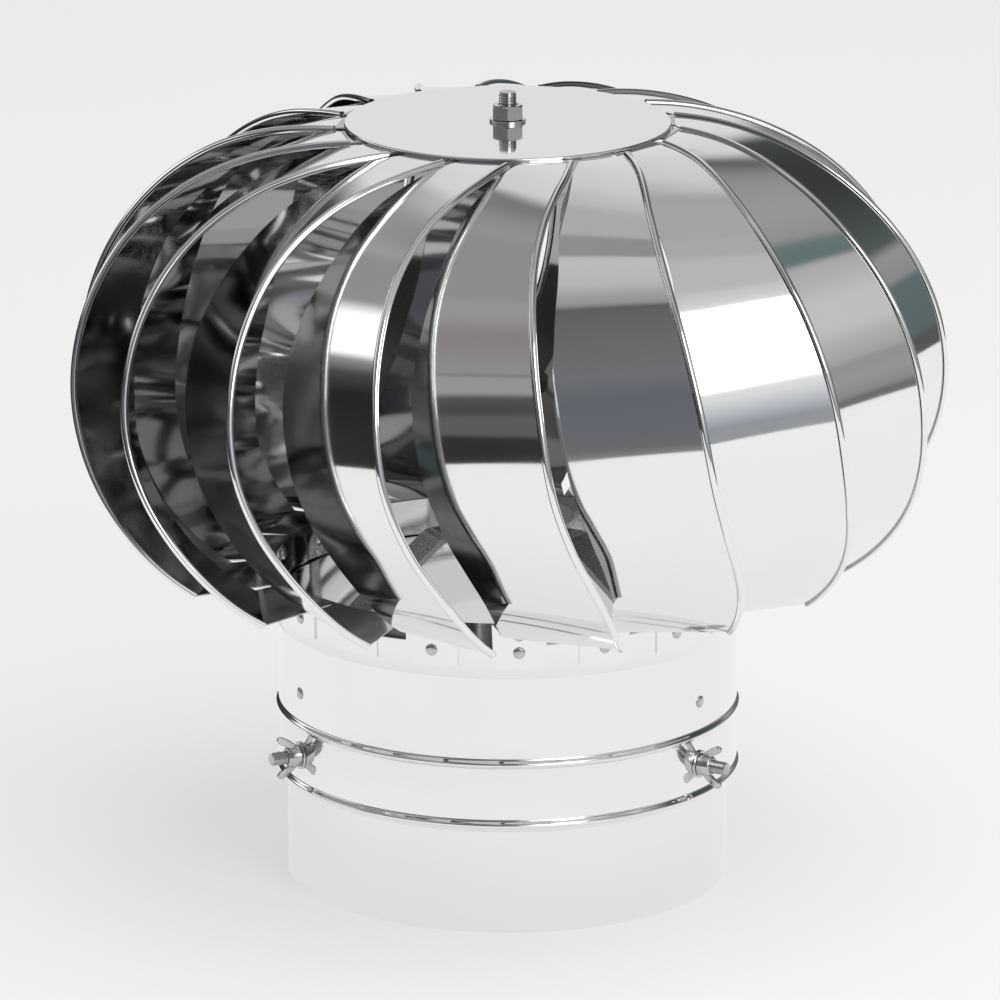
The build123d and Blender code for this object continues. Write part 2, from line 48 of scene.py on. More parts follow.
# -------------------------------------------------------- camera
# A long lens, a little above the ventilator and square to its front.
camera_target = Vector((0.0, 0.0, 175 * mm))
camera_distance = 3.5
camera_elevation = radians(15.71)
camera_data = bpy.data.cameras.new("camera")
camera_data.sensor_width = 36.0
camera_data.lens = 281.0
camera_data.shift_x = -0.0077
camera_data.shift_y = -0.0091
camera = bpy.data.objects.new("camera", camera_data)
camera.location = camera_target + camera_distance * Vector(
    (0.0, -cos(camera_elevation), sin(camera_elevation))
)
camera.rotation_euler = (radians(90) - camera_elevation, 0.0, 0.0)
scene.collection.objects.link(camera)
scene.camera = camera
scene.view_settings.view_transform = "Standard"


# -------------------------------------------------------- floor and table top
# A wide pale floor for the eye, and a table top of the same paper that only the polished
# metal sees.  It ends a little way out, where the metal mirrors the room instead.
def fill(tree, node, inputs):
    """Link or set a node's inputs, by name or by number."""
    for key, value in inputs.items():
        if isinstance(value, bpy.types.NodeSocket):
            tree.links.new(value, node.inputs[key])
        else:
            node.inputs[key].default_value = value


def place(tree, kind, inputs=None, **settings):
    """Add a node with its settings, and fill its inputs."""
    made = tree.nodes.new(kind)
    for key, value in settings.items():
        setattr(made, key, value)
    fill(tree, made, inputs or {})
    return made


def got(tree, kind, inputs=None, output=0, **settings):
    """Add a node, and give one of its outputs."""
    return place(tree, kind, inputs, **settings).outputs[output]


def reckon(tree, operation, first, second=0.0, third=0.0):
    """One step of arithmetic on sockets or numbers."""
    return got(tree, "ShaderNodeMath", {0: first, 1: second, 2: third}, operation=operation)


def times(tree, first, second):
    """The product of two sockets or numbers."""
    return reckon(tree, "MULTIPLY", first, second)


def noise(tree, spot, scale, detail, roughness=0.5):
    """Soft noise between 0 and 1."""
    sizes = {"Vector": spot, "Scale": scale, "Detail": detail, "Roughness": roughness}
    return got(tree, "ShaderNodeTexNoise", sizes, output="Fac")


def spread(tree, value, low, high, start=0.0, end=1.0, **settings):
    """A value taken from start and end to low and high."""
    sizes = {"Value": value, "From Min": start, "From Max": end, "To Min": low, "To Max": high}
    return got(tree, "ShaderNodeMapRange", sizes, **settings)


def new_material(name):
    """An empty node material, its tree, and the socket for its surface."""
    material = bpy.data.materials.new(name)
    material.use_nodes = True
    material.node_tree.nodes.clear()
    output = material.node_tree.nodes.new("ShaderNodeOutputMaterial")
    return material, material.node_tree, output.inputs["Surface"]


paper, tree, surface = new_material("pale_paper")
grain = noise(tree, got(tree, "ShaderNodeTexCoord", output="Object"), 3.0, 4.0)
tone = spread(tree, grain, 0.84, 0.87)
paper_colour = got(tree, "ShaderNodeCombineColor", {"Red": tone, "Green": tone, "Blue": tone})
matt = got(tree, "ShaderNodeBsdfDiffuse", {"Color": paper_colour, "Roughness": 0.4})
# To the eye and in the metal the paper stays nearly even, as under a big soft light
ray = place(tree, "ShaderNodeLightPath").outputs
strength = reckon(tree, "MULTIPLY_ADD", ray["Is Glossy Ray"], 0.07, 1.0)
glow = got(tree, "ShaderNodeEmission", {"Color": (0.86, 0.86, 0.86, 1.0), "Strength": strength})
evened = times(tree, ray["Is Camera Ray"], 0.6)
evened = reckon(tree, "MULTIPLY_ADD", ray["Is Glossy Ray"], 0.75, evened)
tree.links.new(got(tree, "ShaderNodeMixShader", {0: evened, 1: matt, 2: glow}), surface)


def paper_sheet(name, left, right, front, back, level):
    """A level sheet of paper between its four sides."""
    corners = [(left, front, level), (right, front, level), (right, back, level)]
    corners.append((left, back, level))
    mesh = bpy.data.meshes.new(name)
    mesh.from_pydata(corners, [], [(0, 1, 2, 3)])
    mesh.materials.append(paper)
    made = bpy.data.objects.new(name, mesh)
    scene.collection.objects.link(made)
    return made


floor_half = 9.0
floor = paper_sheet("floor", -floor_half, floor_half, -floor_half, floor_half, -0.1 * mm)
floor.visible_glossy = False
table_top = paper_sheet("table_top", left=-0.75, right=1.3, front=-1.15, back=2.5, level=0.0)
table_top.visible_camera = False
table_top.visible_diffuse = False
table_top.visible_shadow = False

# -------------------------------------------------------- room and lamps
# Even white light from above.  The polished metal mirrors a dim room with a grey ceiling:
# white paper behind, a window on the left, and a tall softbox in front on the right.
world = bpy.data.worlds.new("room")
scene.world = world
world.use_nodes = True
tree = world.node_tree
tree.nodes.clear()
direction = got(tree, "ShaderNodeTexCoord", output="Generated")
part_of = place(tree, "ShaderNodeSeparateXYZ", {"Vector": direction}).outputs
height_share = reckon(tree, "MULTIPLY_ADD", part_of["Z"], 0.5, 0.5)
azimuth = reckon(tree, "ARCTAN2", part_of["X"], times(tree, part_of["Y"], -1.0))


def wall(*stops):
    """One side of the room: its tones, grey or coloured, by elevation in degrees."""
    ramp = place(tree, "ShaderNodeValToRGB", {"Fac": height_share})
    elements = ramp.color_ramp.elements
    while len(elements) < len(stops):
        elements.new(0.5)
    for element, (elevation, tone) in zip(elements, stops):
        element.position = 0.5 + 0.5 * sin(radians(elevation))
        element.color = (*tone, 1.0) if isinstance(tone, tuple) else (tone, tone, tone, 1.0)
    return ramp.outputs["Color"]


def blend(tree, share, first, second):
    """One colour mixed into another."""
    inputs = {0: share, 6: first, 7: second}
    return got(tree, "ShaderNodeMix", inputs, output=2, data_type="RGBA")


paper_behind = wall((-30, 0.80), (10, 0.80), (24, 0.76), (50, 0.66), (64, 0.52), (90, 0.54))
back_left = wall(
    (-14, 0.05), (12, 0.04), (26, 0.10), (29, 0.50), (35, 0.50), (38, 0.12), (50, 0.22), (66, 0.45)
)
left_side = wall(
    (-12, 0.03), (4, 0.02), (10, 0.07), (14, 0.30), (16, 1.25), (25, 1.25), (28, 0.30), (40, 0.30)
)
front_left = wall(
    (-11, 0.034), (-4, 0.034), (-2, 0.12), (4, 0.12), (7, 0.07), (12, 0.09), (14, 0.34),
    (20, 0.33), (21, 0.20), (22, 0.30), (36, (0.26, 0.235, 0.235)), (48, 0.37), (58, 0.46),
    (75, 0.56),
)
front = wall(
    (-15, 0.26), (-9, 0.16), (-2, (0.15, 0.155, 0.18)), (14, (0.135, 0.145, 0.165)),
    (24, (0.175, 0.178, 0.19)), (40, 0.16), (54, 0.135), (56, 0.11), (58, 0.32), (62, 0.38),
    (70, 0.49), (80, 0.57),
)
front_right = wall(
    (-14, 0.34), (-5, (0.32, 0.34, 0.37)), (2, (0.55, 0.58, 0.62)), (8, 0.78), (47, 0.78),
    (49, 0.72), (56, 0.62), (59, 0.52), (80, 0.52),
)
right_side = wall(
    (-14, 0.16), (-9, 0.16), (-7, 0.28), (-1, 0.34), (5, 0.32), (7, 0.40), (15, 0.50),
    (20, 0.59), (31, 0.59), (38, 0.50), (45, 0.44), (47, (0.13, 0.19, 0.18)),
    (54, (0.14, 0.20, 0.19)), (56, 0.30), (75, 0.44),
)
back_right = wall(
    (-12, 0.10), (-7, 0.10), (-5, (0.11, 0.15, 0.15)), (10, (0.12, 0.165, 0.165)), (12, 0.28),
    (19, 0.32), (22, (0.09, 0.11, 0.11)), (28, (0.07, 0.085, 0.085)), (40, 0.04), (50, 0.26),
    (70, 0.42),
)
seam_half_width = 4
all_round = paper_behind
for seam, side in (
    (-166, back_left),
    (-136, left_side),
    (-82, front_left),
    (-37, front),
    (7, front_right),
    (49, right_side),
    (93, back_right),
    (166, paper_behind),
):
    ends = (radians(seam - seam_half_width), radians(seam + seam_half_width))
    past_seam = spread(tree, azimuth, 0.0, 1.0, *ends, interpolation_type="SMOOTHSTEP")
    all_round = blend(tree, past_seam, all_round, side)


def background(colour, strength):
    """A background that glows in a colour."""
    return got(tree, "ShaderNodeBackground", {"Color": colour, "Strength": strength})


mirrored_room = background(all_round, 1.0)
even_light = background((1.0, 1.0, 1.0, 1.0), 0.62)
backdrop = background((0.83, 0.83, 0.83, 1.0), 1.0)
ray = place(tree, "ShaderNodeLightPath").outputs
lit = got(tree, "ShaderNodeMixShader", {0: ray["Is Glossy Ray"], 1: even_light, 2: mirrored_room})
seen = got(tree, "ShaderNodeMixShader", {0: ray["Is Camera Ray"], 1: lit, 2: backdrop})
tree.links.new(seen, tree.nodes.new("ShaderNodeOutputWorld").inputs["Surface"])


def soft_lamp(name, spot, aim_at, width, height, power, mirrored):
    """A rectangular soft lamp, aimed at a point."""
    lamp = bpy.data.lights.new(name, "AREA")
    lamp.shape = "RECTANGLE"
    lamp.size = width
    lamp.size_y = height
    lamp.energy = power
    made = bpy.data.objects.new(name, lamp)
    made.location = spot
    aim = Vector(aim_at) - Vector(spot)
    made.rotation_euler = aim.to_track_quat("-Z", "Y").to_euler()
    made.visible_glossy = mirrored
    scene.collection.objects.link(made)


soft_lamp("overhead_lamp", (0.5, -0.2, 2.6), (0.0, 0.0, 0.1), 2.2, 2.2, 36.0, False)
soft_lamp("softbox", (0.95, -1.87, 1.42), (0.0, 0.0, 0.25), 0.95, 1.55, 16.0, True)


# -------------------------------------------------------- collar
# Rolled stainless sheet that pushes into the duct, with two pressed beads and a plain
# neck.  It is polished like the rest of the sheet metal.
def bump(tree, height, strength, distance, on=None):
    """A bumped normal, which may lie on another."""
    inputs = {"Height": height, "Strength": strength, "Distance": distance}
    return got(tree, "ShaderNodeBump", inputs | ({"Normal": on} if on else {}))


def coat(tree, surface, tint, gloss, normal, metallic=1.0):
    """The shader at the end of a finish."""
    inputs = {"Base Color": tint, "Metallic": metallic, "Roughness": gloss, "Normal": normal}
    tree.links.new(got(tree, "ShaderNodeBsdfPrincipled", inputs), surface)


def polished_steel(name, waviness, wave_scale, streaks, painted_shade_tone=0.88):
    """Mirror-polished stainless sheet: slow waves from the rolls, faint polishing lines
    along the sheet, and dry smears that dull it a little.  The side towards the axis may
    be painted darker, as painted shade for the dim inside that it mirrors."""
    material, tree, surface = new_material(name)
    at = place(tree, "ShaderNodeTexCoord").outputs
    spot = at["Object"]
    smears = noise(tree, spot, 22.0, 5.0, 0.6)
    stretched = got(tree, "ShaderNodeMapping", {"Vector": at[streaks[0]], "Scale": streaks[1]})
    lines = noise(tree, stretched, 1.0, 3.0)
    dulling = reckon(tree, "MULTIPLY_ADD", lines, 0.03, times(tree, smears, 0.05))
    gloss = spread(tree, dulling, 0.03, 0.10, start=0.02, end=0.06)
    tint = blend(tree, smears, (0.86, 0.86, 0.87, 1.0), (0.90, 0.895, 0.89, 1.0))
    outwards = got(tree, "ShaderNodeVectorMath", {0: spot, 1: (1, 1, 0)}, operation="MULTIPLY")
    pair = {0: at["Normal"], 1: outwards}
    facing = got(tree, "ShaderNodeVectorMath", pair, output="Value", operation="DOT_PRODUCT")
    # Faces turned towards the axis get a darker tint: painted shade, not a different finish.
    painted_inner_shade = spread(tree, facing, 0.0, 1.0, start=0.002, end=-0.002)
    tint = blend(tree, painted_inner_shade, tint, (painted_shade_tone, painted_shade_tone, painted_shade_tone, 1.0))
    rolled = bump(tree, noise(tree, spot, wave_scale, 0.5), 1.0, waviness)
    coat(tree, surface, tint, gloss, bump(tree, lines, 0.06, 0.02 * mm, rolled))
    return material


def as_object(name, shape, material, crease):
    """The gathered faces as one plain mesh in one material."""
    mesh = bpy.data.meshes.new(name)
    shape.to_mesh(mesh)
    shape.free()
    for face in mesh.polygons:
        face.material_index = 0
    mesh.materials.append(material)
    mesh.shade_smooth()
    mesh.set_sharp_from_angle(angle=radians(crease))
    made = bpy.data.objects.new(name, mesh)
    scene.collection.objects.link(made)
    return made


def turned(name, outline, segments, material, crease=32):
    """A closed outline of (radius, height) in millimetres, turned about the axis."""
    shape = bmesh.new()
    rows = []
    for step in range(segments):
        angle = 2 * pi * step / segments
        rows.append([
            shape.verts.new((reach * mm * sin(angle), -reach * mm * cos(angle), height * mm))
            for reach, height in outline
        ])
    for step, here in enumerate(rows):
        beyond = rows[(step + 1) % segments]
        for index in range(len(outline)):
            after = (index + 1) % len(outline)
            shape.faces.new((here[index], beyond[index], beyond[after], here[after]))
    bmesh.ops.remove_doubles(shape, verts=shape.verts, dist=1e-7)
    bmesh.ops.dissolve_degenerate(shape, edges=shape.edges, dist=1e-8)
    bmesh.ops.recalc_face_normals(shape, faces=shape.faces)
    return as_object(name, shape, material, crease)


def settle(piece, body, slot, *nodes):
    """The piece rides on its body and stands for its nodes.  The slot is not used."""
    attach(piece, body)
    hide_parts(*nodes)


duct_fit_radius = 99.5
collar_sheet = 0.8
lower_bead_height = 51.0
upper_bead_height = 79.0
bead_depth = 1.8
bead_half_width = 2.5
neck_radius = 103.0
collar_height = 127.0
collar_metal = polished_steel("collar_sheet", 0.05 * mm, 9.0, ("Object", (14.0, 14.0, 900.0)))
step_base = lower_bead_height - 2 * bead_depth - 0.6
step_rise = 1.8
outer_line = [(duct_fit_radius, 0.0), (duct_fit_radius, step_base - 0.4)]
step_run = 10
for index in range(step_run + 1):
    share = index / step_run
    swell = 0.5 - 0.5 * cos(pi * share)
    reach = duct_fit_radius + (neck_radius - duct_fit_radius) * swell
    outer_line.append((reach, step_base + share * step_rise))
bead_run = 16
for bead_height in (lower_bead_height, upper_bead_height):
    for index in range(bead_run + 1):
        share = index / bead_run
        bulge = 0.5 - 0.5 * cos(2 * pi * share)
        height = bead_height + bead_half_width * (2 * share - 1)
        if height > outer_line[-1][1]:
            outer_line.append((neck_radius + bead_depth * bulge, height))
outer_line.append((neck_radius, collar_height))
inner_line = [(reach - collar_sheet, height) for reach, height in reversed(outer_line)]
collar = turned("collar_shell", outer_line + inner_line, 256, collar_metal)
settle(collar, "base", "polished_sheet", "collar")

# -------------------------------------------------------- ring round the neck
# A plain hoop of the same sheet that the vanes' feet are riveted to.  It skirts the neck
# with a millimetre between them.
ring_inner_radius = 104.0
ring_radius = 104.8
ring_base = 119.0
ring_soft = 0.25
vane_end_height = 144.0
ring_rim = [
    (ring_inner_radius, ring_base),
    (ring_radius - ring_soft, ring_base),
    (ring_radius, ring_base + ring_soft),
    (ring_radius, vane_end_height - ring_soft),
    (ring_radius - ring_soft, vane_end_height),
    (ring_inner_radius, vane_end_height),
]
bottom_ring = turned("bottom_hoop", ring_rim, 256, collar_metal, crease=50)
settle(bottom_ring, "head", "polished_sheet", "bottom_ring")

# -------------------------------------------------------- vanes
# Seventeen strips of polished sheet, curved to the head's round outline.  Each is ruled
# between two edges, and has a bead rolled along the outer edge, a tab under the cover
# disc, and a foot bent down over the hoop.
vane_count = 17
vane_sheet = 0.6
vane_bead_radius = 1.7
head_radius = 195.0
disc_edge_radius = 72.6
equator_height = 230.0
head_drop = 100.0
hub_level = 342.6
vane_top = hub_level + vane_sheet / 2
seat_gap = 0.02
foot_reach = ring_radius + seat_gap
foot_width = 24.0
foot_base = 124.0
foot_offset = 5.0
foot_azimuth = asin(foot_offset / foot_reach)
tab_width = 15.0
tab_end_reach = 54.0
tab_neck_reach = 66.0
end_latitude = -degrees(asin((equator_height - vane_end_height) / head_drop))
# Latitude, offset of the outer edge, width, and the sheet's angle to the front
vane_stations = (
    (end_latitude, 48.5, 54.0, 20.5),
    (-45.0, 44.5, 55.0, 20.5),
    (-38.0, 41.5, 55.5, 20.5),
    (-30.0, 36.8, 57.0, 21.5),
    (-15.0, 26.2, 59.5, 24.0),
    (0.0, 18.2, 62.0, 27.0),
    (15.0, 13.6, 62.0, 29.0),
    (30.0, 10.9, 55.5, 31.0),
    (45.0, 10.6, 46.5, 33.0),
    (60.0, 14.6, 40.0, 33.5),
    (71.0, 20.2, 33.0, 28.5),
    (80.0, 25.0, 27.0, 15.5),
    (88.0, 27.3, 21.5, -6.0),
)
latitude_span = vane_stations[-1][0] - end_latitude
# The vanes' faces towards the axis are painted much darker: painted shade for the dim inside of the
# head that they mirror.
vane_inward_shade = 0.42
vane_metal = polished_steel(
    "vane_sheet", 0.05 * mm, 14.0, ("UV", (2200.0, 12.0, 1.0)), vane_inward_shade
)


def minus(tree, first, second):
    """The difference of two sockets or numbers."""
    return reckon(tree, "SUBTRACT", first, second)


def point(tree, x, y, z):
    """A point from its three coordinates."""
    return got(tree, "ShaderNodeCombineXYZ", {"X": x, "Y": y, "Z": z})


def new_shape_tree(name, numbers, others=(), gives=(("Mesh", "NodeSocketGeometry"),)):
    """An empty shape tree with named inputs, plain numbers and others, and its outputs."""
    tree = bpy.data.node_groups.new(name, "GeometryNodeTree")
    for label, kind in [(number, "NodeSocketFloat") for number in numbers] + list(others):
        tree.interface.new_socket(label, in_out="INPUT", socket_type=kind)
    for label, kind in gives:
        tree.interface.new_socket(label, in_out="OUTPUT", socket_type=kind)
    taken = tree.nodes.new("NodeGroupInput")
    given = tree.nodes.new("NodeGroupOutput")
    return tree, taken.outputs, given.inputs


# The rule of the vane's two edges, by the share of its length from the foot to the tab
outline_sizes = ["Head Radius", "Disc Radius", "Hoop Radius", "Equator Height", "Rise", "Drop"]
edge_rule, taken, given = new_shape_tree(
    "vane_edges",
    ["Share"] + outline_sizes,
    gives=(("Outer Edge", "NodeSocketVector"), ("Inner Edge", "NodeSocketVector")),
)


def by_latitude(column, first, span):
    """A column of the stations, followed up the vane."""
    curve = place(edge_rule, "ShaderNodeFloatCurve", {"Value": taken["Share"]})
    points = curve.mapping.curves[0].points
    spots = [
        ((station[0] - end_latitude) / latitude_span, (station[column] - first) / span)
        for station in vane_stations
    ]
    points[0].location = spots[0]
    points[1].location = spots[-1]
    for spot in spots[1:-1]:
        points.new(*spot)
    curve.mapping.update()
    return reckon(edge_rule, "MULTIPLY_ADD", curve.outputs[0], span * mm, first * mm)


latitude = reckon(
    edge_rule, "MULTIPLY_ADD", taken["Share"], radians(latitude_span), radians(end_latitude)
)
above = reckon(edge_rule, "GREATER_THAN", latitude, 0.0)
below = minus(edge_rule, 1.0, above)


def by_half(upper, lower):
    """One size above the equator and another below it."""
    return reckon(
        edge_rule, "MULTIPLY_ADD", above, taken[upper], times(edge_rule, below, taken[lower])
    )


edge_radius = by_half("Disc Radius", "Hoop Radius")
swing = minus(edge_rule, taken["Head Radius"], edge_radius)
reach = reckon(
    edge_rule, "MULTIPLY_ADD", swing, reckon(edge_rule, "COSINE", latitude), edge_radius
)
height = reckon(
    edge_rule,
    "MULTIPLY_ADD",
    by_half("Rise", "Drop"),
    reckon(edge_rule, "SINE", latitude),
    taken["Equator Height"],
)
offset = by_latitude(1, first=0.0, span=60.0)
width = by_latitude(2, first=0.0, span=80.0)
angle = times(edge_rule, by_latitude(3, first=-10.0, span=50.0), radians(1.0) / mm)
squares = minus(edge_rule, times(edge_rule, reach, reach), times(edge_rule, offset, offset))
depth = reckon(edge_rule, "SQRT", squares)
outer_edge = point(edge_rule, offset, times(edge_rule, depth, -1.0), height)
across = point(
    edge_rule,
    times(edge_rule, reckon(edge_rule, "COSINE", angle), width),
    times(edge_rule, reckon(edge_rule, "SINE", angle), times(edge_rule, width, -1.0)),
    0.0,
)
inner_edge = got(
    edge_rule, "ShaderNodeVectorMath", {0: outer_edge, 1: across}, operation="SUBTRACT"
)
edge_rule.links.new(outer_edge, given["Outer Edge"])
edge_rule.links.new(inner_edge, given["Inner Edge"])

vane_sizes = ["Azimuth", "Sheet", "Bead Radius", "Foot Reach", "Foot Width", "Foot Base"]
vane_sizes += ["Foot Top", "Foot Azimuth", "Flange Sweep", "Tab Level", "Tab Width", "Tab Neck"]
vane_sizes += ["Tab End", "Tab Azimuth"]
vane_tree, taken, given = new_shape_tree("vane", outline_sizes + vane_sizes)


def edges_at(share):
    """The vane's outer and inner edge points at a share of its length."""
    inputs = {label: taken[label] for label in outline_sizes} | {"Share": share}
    rule = place(vane_tree, "GeometryNodeGroup", inputs, node_tree=edge_rule)
    return rule.outputs["Outer Edge"], rule.outputs["Inner Edge"]


def between(share, start, end):
    """A point of the vane between two others."""
    inputs = {0: share, 4: start, 5: end}
    return got(vane_tree, "ShaderNodeMix", inputs, output=1, data_type="VECTOR")


def unit_grid(tree, columns, rows):
    """A flat unit grid, with its shares across and along."""
    sizes = {"Size X": 1.0, "Size Y": 1.0, "Vertices X": columns, "Vertices Y": rows}
    grid = place(tree, "GeometryNodeMeshGrid", sizes)
    position = got(tree, "GeometryNodeInputPosition")
    spot = place(tree, "ShaderNodeSeparateXYZ", {"Vector": position}).outputs
    return grid.outputs, reckon(tree, "ADD", spot["X"], 0.5), reckon(tree, "ADD", spot["Y"], 0.5)


def sheet_grid(columns, rows):
    """A unit grid mapped like a strip of sheet, with its shares across and along."""
    grid, across_share, along_share = unit_grid(vane_tree, columns, rows)
    strip_size = (60 * mm, 400 * mm, 1.0)
    metres = got(
        vane_tree, "ShaderNodeVectorMath", {0: grid["UV Map"], 1: strip_size}, operation="MULTIPLY"
    )
    mapped = got(
        vane_tree,
        "GeometryNodeStoreNamedAttribute",
        {"Geometry": grid["Mesh"], "Name": "UVMap", "Value": metres},
        data_type="FLOAT2",
        domain="CORNER",
    )
    return mapped, across_share, along_share


def laid_on(tree, shape, position):
    """The shape with its points laid on a position each."""
    return got(tree, "GeometryNodeSetPosition", {"Geometry": shape, "Position": position})


def joined(tree, *parts):
    """Several shapes as one."""
    whole = tree.nodes.new("GeometryNodeJoinGeometry")
    for part in parts:
        tree.links.new(part, whole.inputs[0])
    return whole.outputs[0]


def merged(tree, shape, distance):
    """The shape with points that meet made one."""
    return got(tree, "GeometryNodeMergeByDistance", {"Geometry": shape, "Distance": distance})


def moved(tree, shape, level, turn=0.0):
    """The shape raised, and turned about the axis."""
    inputs = {
        "Geometry": shape,
        "Translation": point(tree, 0.0, 0.0, level),
        "Rotation": point(tree, 0.0, 0.0, turn),
    }
    return got(tree, "GeometryNodeTransform", inputs)


def give(tree, shape, given, material):
    """Hand out the shape, made real and in its material."""
    real = got(tree, "GeometryNodeRealizeInstances", {"Geometry": shape})
    finished = got(tree, "GeometryNodeSetMaterial", {"Geometry": real, "Material": material})
    tree.links.new(finished, given["Mesh"])


def plate(grid, position, sink):
    """The grid laid on its points and given the sheet's thickness, closed all round."""
    laid = laid_on(vane_tree, grid, position)
    normal = got(vane_tree, "GeometryNodeInputNormal")
    drop = times(vane_tree, taken["Sheet"], -sink)
    shift = got(vane_tree, "ShaderNodeVectorMath", {0: normal, "Scale": drop}, operation="SCALE")
    sunk = got(vane_tree, "GeometryNodeSetPosition", {"Geometry": laid, "Offset": shift})
    raised = got(
        vane_tree,
        "GeometryNodeExtrudeMesh",
        {"Mesh": sunk, "Offset Scale": taken["Sheet"], "Individual": False},
        mode="FACES",
    )
    underside = got(vane_tree, "GeometryNodeFlipFaces", {"Mesh": sunk})
    return merged(vane_tree, joined(vane_tree, raised, underside), 1e-6)


# The strip itself
strip_rows = 97
strip_grid, across_share, along_share = sheet_grid(13, strip_rows)
outer_edge, inner_edge = edges_at(along_share)
strip = plate(strip_grid, between(across_share, inner_edge, outer_edge), 0.5)

# The bead rolled along the outer edge
edge_line = got(vane_tree, "GeometryNodeCurvePrimitiveLine")
edge_line = got(vane_tree, "GeometryNodeResampleCurve", {"Curve": edge_line, "Count": strip_rows})
edge_share = got(vane_tree, "GeometryNodeSplineParameter", output="Factor")
edge_line = laid_on(vane_tree, edge_line, edges_at(edge_share)[0])
roll_sizes = {"Resolution": 14, "Radius": taken["Bead Radius"]}
roll = got(vane_tree, "GeometryNodeCurvePrimitiveCircle", roll_sizes)
bead_parts = {"Curve": edge_line, "Profile Curve": roll, "Fill Caps": True}
bead = got(vane_tree, "GeometryNodeCurveToMesh", bead_parts)


def plan_point(azimuth, reach, side, level):
    """A point at a reach on an azimuth, moved sideways."""
    flat = point(vane_tree, side, times(vane_tree, reach, -1.0), level)
    inputs = {"Vector": flat, "Angle": azimuth}
    return got(vane_tree, "ShaderNodeVectorRotate", inputs, rotation_type="Z_AXIS")


# The tab under the cover disc: a tapering neck and a square end
top_outer, top_inner = edges_at(1.0)
tab_sides = [times(vane_tree, taken["Tab Width"], half) for half in (-0.5, 0.5)]
tab_corners = [
    plan_point(taken["Tab Azimuth"], taken[reach_name], side, taken["Tab Level"])
    for reach_name in ("Tab Neck", "Tab End")
    for side in tab_sides
]
plates = [strip, bead]
for left_low, right_low, left_high, right_high in (
    (top_inner, top_outer, *tab_corners[:2]),
    tab_corners,
):
    grid, across_share, along_share = sheet_grid(5, 5)
    low = between(across_share, left_low, right_low)
    high = between(across_share, left_high, right_high)
    plates.append(plate(grid, between(along_share, low, high), 0.0))

# The level flange, whose far side follows the hoop, and the foot bent down over the hoop
end_outer, end_inner = edges_at(0.0)
foot_sweep = reckon(vane_tree, "DIVIDE", taken["Foot Width"], taken["Foot Reach"])
foot_start = reckon(vane_tree, "MULTIPLY_ADD", foot_sweep, -0.5, taken["Foot Azimuth"])
grid, across_share, along_share = sheet_grid(13, 7)
swing = reckon(vane_tree, "MULTIPLY_ADD", across_share, taken["Flange Sweep"], foot_start)
on_hoop = plan_point(swing, taken["Foot Reach"], 0.0, taken["Foot Top"])
under_vane = between(across_share, end_inner, end_outer)
plates.append(plate(grid, between(along_share, under_vane, on_hoop), 0.5))
grid, across_share, along_share = sheet_grid(13, 7)
swing = reckon(vane_tree, "MULTIPLY_ADD", across_share, foot_sweep, foot_start)
foot_height = minus(vane_tree, taken["Foot Top"], taken["Foot Base"])
level = reckon(vane_tree, "MULTIPLY_ADD", along_share, foot_height, taken["Foot Base"])
plates.append(plate(grid, plan_point(swing, taken["Foot Reach"], 0.0, level), 0.0))
whole = moved(vane_tree, joined(vane_tree, *plates), 0.0, taken["Azimuth"])
give(vane_tree, whole, given, vane_metal)


def grow(name, tree, *settings, crease=32):
    """Run a shape tree once for each set of sizes, and keep the results as one plain mesh."""
    gathered = bmesh.new()
    for sizes in settings:
        holder = bpy.data.objects.new(name + "_run", bpy.data.meshes.new(name + "_run"))
        scene.collection.objects.link(holder)
        shaping = holder.modifiers.new("shape", "NODES")
        shaping.node_group = tree
        for item in tree.interface.items_tree:
            if item.item_type == "SOCKET" and item.in_out == "INPUT":
                shaping[item.identifier] = sizes[item.name]
        depsgraph = bpy.context.evaluated_depsgraph_get()
        result = bpy.data.meshes.new_from_object(holder.evaluated_get(depsgraph))
        gathered.from_mesh(result)
        material = [kept for kept in result.materials if kept][0]
        holder.modifiers.remove(shaping)
        bpy.data.objects.remove(holder)
        bpy.data.meshes.remove(result)
    return as_object(name, gathered, material, crease)


def in_metres(lengths):
    """Named lengths, from millimetres."""
    return {label: length * mm for label, length in lengths.items()}


top_latitude, top_offset, top_width, top_angle = vane_stations[-1]
top_reach = disc_edge_radius + (head_radius - disc_edge_radius) * cos(radians(top_latitude))
tab_outer = Vector((top_offset, -sqrt(top_reach**2 - top_offset**2)))
tab_inner = tab_outer - top_width * Vector((cos(radians(top_angle)), -sin(radians(top_angle))))
tab_azimuth = atan2(tab_outer.x + tab_inner.x, -tab_outer.y - tab_inner.y)
vane_pitch = 2 * pi / vane_count
vane_lengths = {
    "Head Radius": head_radius,
    "Disc Radius": disc_edge_radius,
    "Hoop Radius": ring_radius,
    "Equator Height": equator_height,
    "Rise": vane_top - equator_height,
    "Drop": head_drop,
    "Sheet": vane_sheet,
    "Bead Radius": vane_bead_radius,
    "Foot Reach": foot_reach,
    "Foot Width": foot_width,
    "Foot Base": foot_base,
    "Foot Top": vane_end_height,
    "Tab Level": hub_level,
    "Tab Width": tab_width,
    "Tab Neck": tab_neck_reach,
    "Tab End": tab_end_reach,
}
vane_angles = {"Foot Azimuth": foot_azimuth, "Flange Sweep": vane_pitch, "Tab Azimuth": tab_azimuth}
for index in range(vane_count):
    sizes = in_metres(vane_lengths) | vane_angles | {"Azimuth": index * vane_pitch}
    vane = grow(f"vane_{index + 1:02d}", vane_tree, sizes)
    settle(vane, "head", "polished_sheet", f"blade_{index + 1:02d}")

